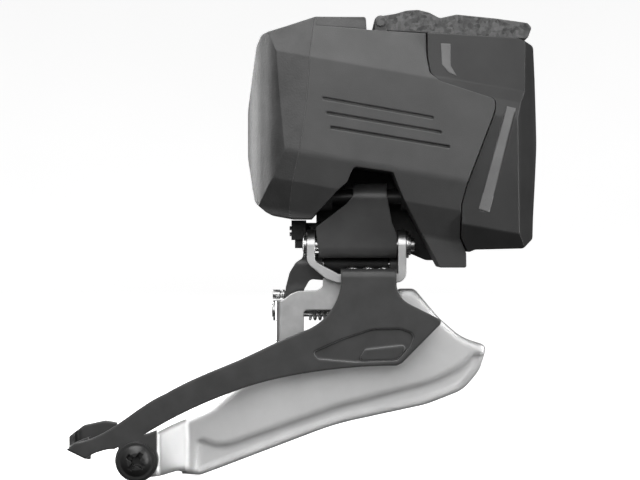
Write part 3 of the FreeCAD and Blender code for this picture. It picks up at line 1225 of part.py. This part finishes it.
def main():
    os.makedirs("parts", exist_ok=True)
    for name, shape in build().items():
        shape.exportStep(os.path.join("parts", name + ".step"))
        box = shape.BoundBox
        print(f"{name:22s} solids {len(shape.Solids)} valid {shape.isValid()} volume {shape.Volume:9.2f}"
              f"  x {box.XMin:6.1f} {box.XMax:6.1f}  y {box.YMin:6.1f} {box.YMax:6.1f}"
              f"  z {box.ZMin:6.1f} {box.ZMax:6.1f}")


main()
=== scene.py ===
import json
import math

import bmesh
import bpy
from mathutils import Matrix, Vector


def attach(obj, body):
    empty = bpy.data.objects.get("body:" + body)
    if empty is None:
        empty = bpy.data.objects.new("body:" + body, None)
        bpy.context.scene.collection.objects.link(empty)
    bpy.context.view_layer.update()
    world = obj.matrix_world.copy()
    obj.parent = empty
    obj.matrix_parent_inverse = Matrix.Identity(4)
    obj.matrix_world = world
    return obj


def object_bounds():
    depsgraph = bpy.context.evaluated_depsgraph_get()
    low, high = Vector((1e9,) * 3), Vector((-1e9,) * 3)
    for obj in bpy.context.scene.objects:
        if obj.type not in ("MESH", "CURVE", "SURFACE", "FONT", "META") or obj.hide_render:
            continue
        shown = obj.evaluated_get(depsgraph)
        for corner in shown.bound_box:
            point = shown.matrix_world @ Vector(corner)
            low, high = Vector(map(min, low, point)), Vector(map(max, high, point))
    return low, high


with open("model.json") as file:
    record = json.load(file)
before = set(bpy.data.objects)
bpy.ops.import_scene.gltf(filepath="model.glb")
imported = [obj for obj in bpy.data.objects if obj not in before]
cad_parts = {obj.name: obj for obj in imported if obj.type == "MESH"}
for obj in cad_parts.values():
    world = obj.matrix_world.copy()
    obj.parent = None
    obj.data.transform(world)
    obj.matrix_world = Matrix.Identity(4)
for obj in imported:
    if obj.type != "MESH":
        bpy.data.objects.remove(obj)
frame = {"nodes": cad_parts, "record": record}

# The looks of a front derailleur: a finish for every CAD part, two strips on the battery painted light as
# highlights of its bevels, a studio and a camera. Edges look rounded by shading only; the CAD parts keep
# their own meshes.
# Lengths are in metres, in the frame of the CAD: +X forward on the bike, +Y inboard, +Z up.

MM = 0.001
cad_low, cad_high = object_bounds()

# ------------------------------------------------------------------ camera and studio
CAMERA_LENS = 101.0             # mm, on the sensor width below
SENSOR_WIDTH = 36.0
CAMERA_DISTANCE = 481 * MM      # from the mount face, outboard
AIM_FROM_CENTRE = (4.6 * MM, 1.6 * MM)      # x and z from the middle of the CAD box
FLOOR_GAP = 0.3 * MM
FLOOR_RADIUS = 2.4
SWEEP_RADIUS = 0.8
SWEEP_STEPS = 12
FLOOR_SIDES = 64
WALL_HEIGHT = 2.4
PAPER_GLOW = 0.66               # light that the floor gives off, so that it looks white
WORLD_BELOW = 0.03              # strength of the room light from below
WORLD_ABOVE = 0.36              # and from above
WORLD_FADE = (-0.7, 0.9)        # heights on the unit sphere between which it changes
LIGHTS = {                      # offset from the middle of the part, width, height, watts
    "overhead": ((-0.15, -0.12, 0.7), 0.8, 0.5, 6.5),
    "front": ((-0.2, -0.95, 0.42), 0.9, 0.7, 5.4),
    "left_rim": ((-0.55, 0.34, 0.12), 0.1, 0.6, 4.0),
    "right_rim": ((0.5, -0.3, 0.1), 0.07, 0.6, 2.0),
}

# ------------------------------------------------------------------ edges and grain
NOISE_ROUGHNESS = 0.55
ROUND_SAMPLES = 6               # rays that find rounded edges
EDGE_SAMPLES = 4                # rays that find the edges painted lighter, partly wear and partly painted highlight
EDGE_TURN = (0.02, 0.25)        # loss of alignment where the painted edge wear and highlight starts and where it is full
PLASTIC_ROUND = 0.45 * MM
# width of the plastic edges painted lighter, partly wear and partly painted highlight
PLASTIC_WEAR_AND_HIGHLIGHT = 0.25 * MM
COMPOSITE_ROUND = 0.4 * MM
# width of the composite edges painted lighter, partly wear and partly painted highlight
COMPOSITE_WEAR_AND_HIGHLIGHT = 0.3 * MM
ALLOY_ROUND = 0.5 * MM
# width of the alloy edges painted lighter, partly wear and partly painted highlight
ALLOY_WEAR_AND_HIGHLIGHT = 0.22 * MM
STEEL_ROUND = 0.35 * MM
PLATE_ROUND = 0.8 * MM          # outer cage plate
RIM_ROUND = 2.2 * MM            # rolled rim of the inner cage plate

# ------------------------------------------------------------------ painted highlight strips on the battery
INLAY_DEPTH = 0.5 * MM          # how far a highlight strip reaches into the case
INLAY_PROUD = 0.06 * MM         # how far its face stands out
INLAY_INSET = 0.06              # share of the way to its middle where a corner's depth is read
# flat strips on the battery's face, painted lighter as painted highlights of its bevels
BATTERY_HIGHLIGHT_STRIPS = {              # corners (x, z) in mm, seen from outboard, clockwise from top left
    "battery_painted_highlight_upper": [(19.9, 38.9), (22.4, 38.8), (22.4, 33.4), (23.9, 30.8), (21.9, 31.6),
                            (20.2, 33.6)],
    "battery_painted_highlight_lower": [(36.2, 23.2), (38.4, 22.7), (31.9, -3.1), (29.2, -2.2)],
}


# ------------------------------------------------------------------ shader building blocks
class Finish:
    """One material: its principled shader and short ways to add detail to it."""

    def __init__(self, name, base, roughness, metallic=0.0, specular=0.5):
        self.material = bpy.data.materials.new(name)
        self.material.use_nodes = True
        self.nodes = self.material.node_tree.nodes
        self.links = self.material.node_tree.links
        self.shader = self.nodes["Principled BSDF"]
        self.shader.inputs["Base Color"].default_value = (*base, 1)
        self.shader.inputs["Roughness"].default_value = roughness
        self.shader.inputs["Metallic"].default_value = metallic
        self.shader.inputs["Specular IOR Level"].default_value = specular
        self.place = self.nodes.new("ShaderNodeTexCoord").outputs["Object"]
        self.normal = None

    def stretched(self, scale, turn=(0, 0, 0)):
        """Object coordinates, turned and scaled, for a pattern that runs in one direction."""
        mapping = self.nodes.new("ShaderNodeMapping")
        mapping.inputs["Rotation"].default_value = turn
        mapping.inputs["Scale"].default_value = scale
        self.links.new(self.place, mapping.inputs["Vector"])
        return mapping.outputs["Vector"]

    def noise(self, size, detail=3.0, place=None):
        """Noise whose blobs are about `size` metres across."""
        noise = self.nodes.new("ShaderNodeTexNoise")
        noise.inputs["Scale"].default_value = 1 / size
        noise.inputs["Detail"].default_value = detail
        noise.inputs["Roughness"].default_value = NOISE_ROUGHNESS
        self.links.new(place or self.place, noise.inputs["Vector"])
        return noise.outputs["Fac"]

    def cells(self, size, place):
        """Random tone per cell, cells about `size` metres across."""
        cells = self.nodes.new("ShaderNodeTexVoronoi")
        cells.inputs["Scale"].default_value = 1 / size
        self.links.new(place, cells.inputs["Vector"])
        return cells.outputs["Color"]

    def ramp(self, value, stops):
        """Colour ramp through (position, colour) stops."""
        ramp = self.nodes.new("ShaderNodeValToRGB")
        elements = ramp.color_ramp.elements
        while len(elements) < len(stops):
            elements.new(0.5)
        for element, (position, colour) in zip(elements, stops):
            element.position = position
            element.color = (*colour, 1)
        self.links.new(value, ramp.inputs["Fac"])
        return ramp.outputs["Color"]

    def spread(self, value, low, high):
        """Maps 0..1 to low..high."""
        remap = self.nodes.new("ShaderNodeMapRange")
        remap.inputs["To Min"].default_value = low
        remap.inputs["To Max"].default_value = high
        self.links.new(value, remap.inputs["Value"])
        return remap.outputs["Result"]

    def blend(self, share, first, second):
        """Colour mix: first at share 0, second at share 1."""
        mix = self.nodes.new("ShaderNodeMix")
        mix.data_type = "RGBA"
        self.links.new(share, mix.inputs[0])
        for socket, colour in ((mix.inputs[6], first), (mix.inputs[7], second)):
            if isinstance(colour, tuple):
                socket.default_value = (*colour, 1)
            else:
                self.links.new(colour, socket)
        return mix.outputs[2]

    def set(self, socket, value):
        self.links.new(value, self.shader.inputs[socket])

    def bump(self, height, depth):
        """Adds a bump of `depth` metres on top of what is there."""
        bump = self.nodes.new("ShaderNodeBump")
        bump.inputs["Distance"].default_value = depth
        bump.inputs["Strength"].default_value = 1.0
        self.links.new(height, bump.inputs["Height"])
        if self.normal is not None:
            self.links.new(self.normal, bump.inputs["Normal"])
        self.normal = bump.outputs["Normal"]
        self.links.new(self.normal, self.shader.inputs["Normal"])

    def round_edges(self, radius):
        """Shades edges as if they were rounded to `radius` metres; bumps are added on top."""
        bevel = self.nodes.new("ShaderNodeBevel")
        bevel.samples = ROUND_SAMPLES
        bevel.inputs["Radius"].default_value = radius
        self.normal = bevel.outputs["Normal"]

    def edge(self, radius):
        """0 on open faces, 1 along edges, within `radius` metres of them."""
        bevel = self.nodes.new("ShaderNodeBevel")
        bevel.samples = EDGE_SAMPLES
        bevel.inputs["Radius"].default_value = radius
        geometry = self.nodes.new("ShaderNodeNewGeometry")
        dot = self.nodes.new("ShaderNodeVectorMath")
        dot.operation = "DOT_PRODUCT"
        self.links.new(bevel.outputs["Normal"], dot.inputs[0])
        self.links.new(geometry.outputs["Normal"], dot.inputs[1])
        remap = self.nodes.new("ShaderNodeMapRange")
        remap.inputs["From Min"].default_value = 1 - EDGE_TURN[0]
        remap.inputs["From Max"].default_value = 1 - EDGE_TURN[1]
        self.links.new(dot.outputs["Value"], remap.inputs["Value"])
        return remap.outputs["Result"]


def grey(level):
    return (level, level, level)


# ------------------------------------------------------------------ finishes
def moulded(name, low, high, roughness, grain, depth, edge_wear_and_highlight=None):
    """Moulded black plastic: soft blotches, spark-eroded grain and edges painted lighter, partly as wear
    and partly as painted highlight.
    """
    finish = Finish(name, grey(low), roughness)
    finish.round_edges(PLASTIC_ROUND)
    blotches = finish.noise(9 * MM, detail=4)
    tone = finish.ramp(blotches, [(0.3, grey(low)), (0.7, grey(high))])
    # edges painted lighter: partly wear, partly painted highlight
    if edge_wear_and_highlight:
        tone = finish.blend(finish.edge(PLASTIC_WEAR_AND_HIGHLIGHT), tone, grey(edge_wear_and_highlight))
    finish.set("Base Color", tone)
    grain_noise = finish.noise(grain, detail=2)
    finish.set("Roughness", finish.spread(grain_noise, roughness - 0.08, roughness + 0.08))
    finish.bump(grain_noise, depth)
    return finish.material


def composite(name):
    """Chopped fibre composite: flakes that lie in all directions, each with its own tone."""
    finish = Finish(name, grey(0.03), 0.4)
    finish.round_edges(COMPOSITE_ROUND)
    wander = finish.noise(1.2 * MM, detail=2)
    flakes_a = finish.cells(1.3 * MM, finish.stretched((1.0, 2.6, 1.8), (0, 0.4, 0.5)))
    flakes_b = finish.cells(1.7 * MM, finish.stretched((2.4, 1.0, 1.5), (0.3, -0.5, -0.6)))
    tone_a = finish.ramp(flakes_a, [(0.15, grey(0.01)), (0.85, grey(0.15))])
    tone_b = finish.ramp(flakes_b, [(0.2, grey(0.014)), (0.9, grey(0.11))])
    tone = finish.blend(wander, tone_a, tone_b)
    # edges painted lighter grey: partly wear, partly painted highlight
    finish.set("Base Color", finish.blend(finish.edge(COMPOSITE_WEAR_AND_HIGHLIGHT), tone, grey(0.16)))
    finish.set("Roughness", finish.spread(flakes_b, 0.3, 0.5))
    finish.bump(finish.noise(0.5 * MM), 0.02 * MM)
    return finish.material


def anodised(name, low, high, roughness, rim, rounding=ALLOY_ROUND):
    """Black anodised aluminium: bead blasted, with edges painted in tone `rim`, partly as rubbed wear and
    partly as painted highlight.
    """
    finish = Finish(name, grey(low), roughness, metallic=0.35)
    finish.round_edges(rounding)
    cloud = finish.noise(6 * MM, detail=3)
    tone = finish.ramp(cloud, [(0.3, grey(low)), (0.7, grey(high))])
    # edges painted in tone rim: partly rubbed wear, partly painted highlight
    finish.set("Base Color", finish.blend(finish.edge(ALLOY_WEAR_AND_HIGHLIGHT), tone, grey(rim)))
    blast = finish.noise(0.16 * MM, detail=2)
    finish.set("Roughness", finish.spread(blast, roughness - 0.06, roughness + 0.1))
    finish.bump(blast, 0.012 * MM)
    return finish.material


def blasted(name, low, high, roughness, rim):
    """Bead-blasted, clear anodised aluminium whose rim looks rolled over `rim` metres."""
    finish = Finish(name, grey(high), roughness, metallic=0.85)
    finish.round_edges(rim)
    cloud = finish.noise(14 * MM, detail=5)
    finish.set("Base Color", finish.ramp(cloud, [(0.3, grey(low)), (0.7, grey(high))]))
    blast = finish.noise(0.2 * MM, detail=2)
    finish.set("Roughness", finish.spread(blast, roughness - 0.07, roughness + 0.09))
    finish.bump(blast, 0.014 * MM)
    return finish.material


def rolled(name, colour, roughness, turn=(0, 0, 0), metallic=1.0):
    """Rolled or turned metal with fine parallel marks and a few brighter rubbed places."""
    finish = Finish(name, colour, roughness, metallic=metallic)
    finish.round_edges(STEEL_ROUND)
    marks = finish.noise(0.25 * MM, detail=3, place=finish.stretched((0.08, 1.0, 1.0), turn))
    rubbed = finish.noise(5 * MM, detail=3)
    dull = tuple(0.82 * part for part in colour)
    finish.set("Base Color", finish.ramp(rubbed, [(0.35, dull), (0.65, colour)]))
    finish.set("Roughness", finish.spread(marks, roughness - 0.08, roughness + 0.12))
    finish.bump(marks, 0.002 * MM)
    return finish.material


def rubber(name):
    finish = Finish(name, grey(0.02), 0.75, specular=0.3)
    bloom = finish.noise(1.5 * MM, detail=4)
    finish.set("Base Color", finish.ramp(bloom, [(0.35, grey(0.016)), (0.7, grey(0.034))]))
    finish.bump(finish.noise(0.3 * MM), 0.02 * MM)
    return finish.material


def circuit_board(name):
    finish = Finish(name, (0.02, 0.12, 0.06), 0.3)
    tracks = finish.cells(2.4 * MM, finish.stretched((1, 1, 3)))
    lacquer = (0.012, 0.09, 0.04)
    copper_below = (0.03, 0.2, 0.09)
    finish.set("Base Color", finish.ramp(tracks, [(0.45, lacquer), (0.55, copper_below)]))
    finish.bump(tracks, 0.03 * MM)
    return finish.material


def clear_pipe(name):
    finish = Finish(name, grey(0.8), 0.18)
    cloud = finish.noise(0.8 * MM)
    finish.set("Base Color", finish.ramp(cloud, [(0.3, grey(0.62)), (0.7, grey(0.86))]))
    finish.bump(cloud, 0.01 * MM)
    return finish.material


def make_finishes():
    """One material for each material slot of the record, and one for the painted highlight strips on the
    battery.
    """
    return {
        "black_shell": moulded("shell_finish", 0.05, 0.064, 0.5, 0.22 * MM, 0.03 * MM, edge_wear_and_highlight=0.12),
        "cap_shell": moulded("cap_finish", 0.03, 0.062, 0.48, 0.5 * MM, 0.06 * MM, edge_wear_and_highlight=0.12),
        "battery_shell": moulded("battery_finish", 0.02, 0.028, 0.34, 0.2 * MM, 0.012 * MM, edge_wear_and_highlight=0.09),
        "latch_composite": composite("latch_finish"),
        "dark_plastic": moulded("dark_finish", 0.018, 0.028, 0.55, 0.3 * MM, 0.02 * MM),
        "black_alloy": anodised("support_finish", 0.02, 0.03, 0.45, rim=0.1),
        "link_black": anodised("link_finish", 0.1, 0.125, 0.4, rim=0.28),
        "black_plate": anodised("plate_finish", 0.045, 0.062, 0.4, rim=0.3, rounding=PLATE_ROUND),
        "silver_plate": blasted("silver_finish", 0.82, 0.92, 0.38, RIM_ROUND),
        "silver_bracket": rolled("bracket_finish", grey(0.62), 0.32, (0, math.radians(90), 0)),
        "steel": rolled("steel_finish", grey(0.6), 0.25),
        "black_steel": rolled("screw_finish", grey(0.035), 0.36, metallic=0.5),
        "motor_steel": rolled("motor_finish", grey(0.5), 0.3),
        "alloy": rolled("gear_finish", grey(0.6), 0.3),
        "brass_parts": rolled("brass_finish", (0.7, 0.52, 0.26), 0.28),
        "rubber_parts": rubber("rubber_finish"),
        "board": circuit_board("board_finish"),
        "light_pipe": clear_pipe("pipe_finish"),
        # lighter plastic that paints the highlights of the battery's bevels
        "painted_highlight": moulded("painted_highlight_finish", 0.12, 0.17, 0.3, 0.2 * MM, 0.008 * MM),
    }


def finish_nodes(finishes):
    """Gives every CAD node the finish of its slot; the latch pin is coated like the lever round it."""
    for part in frame["record"]["subparts"]:
        node = frame["nodes"][part["node"]]
        slot = "latch_composite" if part["node"] == "latch_pin" else part["material_slot"]
        for index in range(len(node.data.materials)):
            node.data.materials[index] = finishes[slot]


# ------------------------------------------------------------------ battery pieces
def front_y(node, x, z):
    """Y of the outboard surface of a CAD node at (x, z)."""
    into_node = node.matrix_world.inverted()
    start = into_node @ Vector((x, cad_low.y - MM, z))
    ahead = into_node.to_3x3() @ Vector((0, 1, 0))
    place = node.ray_cast(start, ahead)[1]
    return (node.matrix_world @ place).y


def make_inlay(name, node, corners):
    """Closed piece that follows the outboard surface of a node inside an outline."""
    points = [(x * MM, z * MM) for x, z in corners]
    centre = (sum(x for x, _ in points) / len(points), sum(z for _, z in points) / len(points))
    build = bmesh.new()
    rings = []
    for shift in (-INLAY_PROUD, INLAY_DEPTH):
        ring = []
        for x, z in points:
            inset = (x + (centre[0] - x) * INLAY_INSET, z + (centre[1] - z) * INLAY_INSET)
            ring.append(build.verts.new((x, front_y(node, *inset) + shift, z)))
        rings.append(ring)
    build.faces.new(rings[0])
    build.faces.new(reversed(rings[1]))
    for index in range(len(points)):
        after = (index + 1) % len(points)
        build.faces.new((rings[0][after], rings[0][index], rings[1][index], rings[1][after]))
    bmesh.ops.recalc_face_normals(build, faces=build.faces)
    mesh = bpy.data.meshes.new(name)
    build.to_mesh(mesh)
    build.free()
    inlay = bpy.data.objects.new(name, mesh)
    bpy.context.scene.collection.objects.link(inlay)
    return inlay


def make_battery_highlight_strips(finishes):
    """Flat strips on the battery's outboard face, painted lighter as highlights of its bevels, which move
    with the battery.
    """
    case = frame["nodes"]["battery_case"]
    for name, corners in BATTERY_HIGHLIGHT_STRIPS.items():
        bevel = make_inlay(name, case, corners)
        # each strip is painted light as a painted highlight
        bevel.data.materials.append(finishes["painted_highlight"])
        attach(bevel, "battery_body")


# ------------------------------------------------------------------ studio
def make_floor():
    """Pale round floor that sweeps up into a wall; it throws no light, reflection or shadow on the part."""
    floor_z = cad_low.z - FLOOR_GAP
    profile = [(0.0, floor_z), (FLOOR_RADIUS - SWEEP_RADIUS, floor_z)]
    for step in range(1, SWEEP_STEPS + 1):
        angle = math.radians(90 * step / SWEEP_STEPS)
        profile.append((FLOOR_RADIUS - SWEEP_RADIUS + SWEEP_RADIUS * math.sin(angle),
                        floor_z + SWEEP_RADIUS * (1 - math.cos(angle))))
    profile.append((FLOOR_RADIUS, floor_z + WALL_HEIGHT))
    build = bmesh.new()
    for radius, z in profile:
        build.verts.new((radius, 0, z))
    build.verts.ensure_lookup_table()
    edges = [build.edges.new((build.verts[i], build.verts[i + 1])) for i in range(len(profile) - 1)]
    bmesh.ops.spin(build, geom=build.verts[:] + edges, angle=math.tau, steps=FLOOR_SIDES,
                   axis=(0, 0, 1), cent=(0, 0, 0), use_merge=True)
    bmesh.ops.remove_doubles(build, verts=build.verts, dist=MM)
    bmesh.ops.recalc_face_normals(build, faces=build.faces)
    mesh = bpy.data.meshes.new("floor")
    build.to_mesh(mesh)
    build.free()
    mesh.shade_smooth()
    floor = bpy.data.objects.new("floor", mesh)
    bpy.context.scene.collection.objects.link(floor)
    paper = Finish("floor_paper", grey(0.9), 0.9, specular=0.1)
    paper.set("Base Color", paper.ramp(paper.noise(0.3), [(0.3, grey(0.88)), (0.7, grey(0.92))]))
    paper.shader.inputs["Emission Color"].default_value = (1, 1, 1, 1)
    paper.shader.inputs["Emission Strength"].default_value = PAPER_GLOW
    mesh.materials.append(paper.material)
    floor.visible_glossy = False
    floor.visible_diffuse = False
    floor.visible_shadow = False


def make_light(name, place, aim, width, height, watts):
    lamp = bpy.data.lights.new(name, "AREA")
    lamp.shape = "RECTANGLE"
    lamp.size = width
    lamp.size_y = height
    lamp.energy = watts
    light = bpy.data.objects.new(name, lamp)
    light.location = place
    light.rotation_mode = "QUATERNION"
    light.rotation_quaternion = (Vector(aim) - Vector(place)).to_track_quat("-Z", "Y")
    bpy.context.scene.collection.objects.link(light)


def make_world():
    """Soft room light that is brighter from above."""
    world = bpy.data.worlds.new("studio")
    bpy.context.scene.world = world
    world.use_nodes = True
    nodes, links = world.node_tree.nodes, world.node_tree.links
    place = nodes.new("ShaderNodeTexCoord")
    split = nodes.new("ShaderNodeSeparateXYZ")
    height = nodes.new("ShaderNodeMapRange")
    height.inputs["From Min"].default_value = WORLD_FADE[0]
    height.inputs["From Max"].default_value = WORLD_FADE[1]
    height.inputs["To Min"].default_value = WORLD_BELOW
    height.inputs["To Max"].default_value = WORLD_ABOVE
    links.new(place.outputs["Generated"], split.inputs["Vector"])
    links.new(split.outputs["Z"], height.inputs["Value"])
    links.new(height.outputs["Result"], nodes["Background"].inputs["Strength"])
    nodes["Background"].inputs["Color"].default_value = (1, 1, 1, 1)


def make_studio():
    """Large soft lights above and in front, and a narrow one on each flank."""
    centre = (cad_low + cad_high) / 2
    make_world()
    for name, (offset, width, height, watts) in LIGHTS.items():
        make_light(name, centre + Vector(offset), centre, width, height, watts)
    bpy.context.scene.view_settings.view_transform = "Standard"


def make_camera():
    centre = (cad_low + cad_high) / 2
    data = bpy.data.cameras.new("camera")
    data.lens = CAMERA_LENS
    data.sensor_width = SENSOR_WIDTH
    camera = bpy.data.objects.new("camera", data)
    camera.location = (centre.x + AIM_FROM_CENTRE[0], cad_high.y - CAMERA_DISTANCE,
                       centre.z + AIM_FROM_CENTRE[1])
    camera.rotation_euler = (math.radians(90), 0, 0)
    bpy.context.scene.collection.objects.link(camera)
    bpy.context.scene.camera = camera


all_finishes = make_finishes()
finish_nodes(all_finishes)
make_battery_highlight_strips(all_finishes)
make_floor()
make_studio()
make_camera()
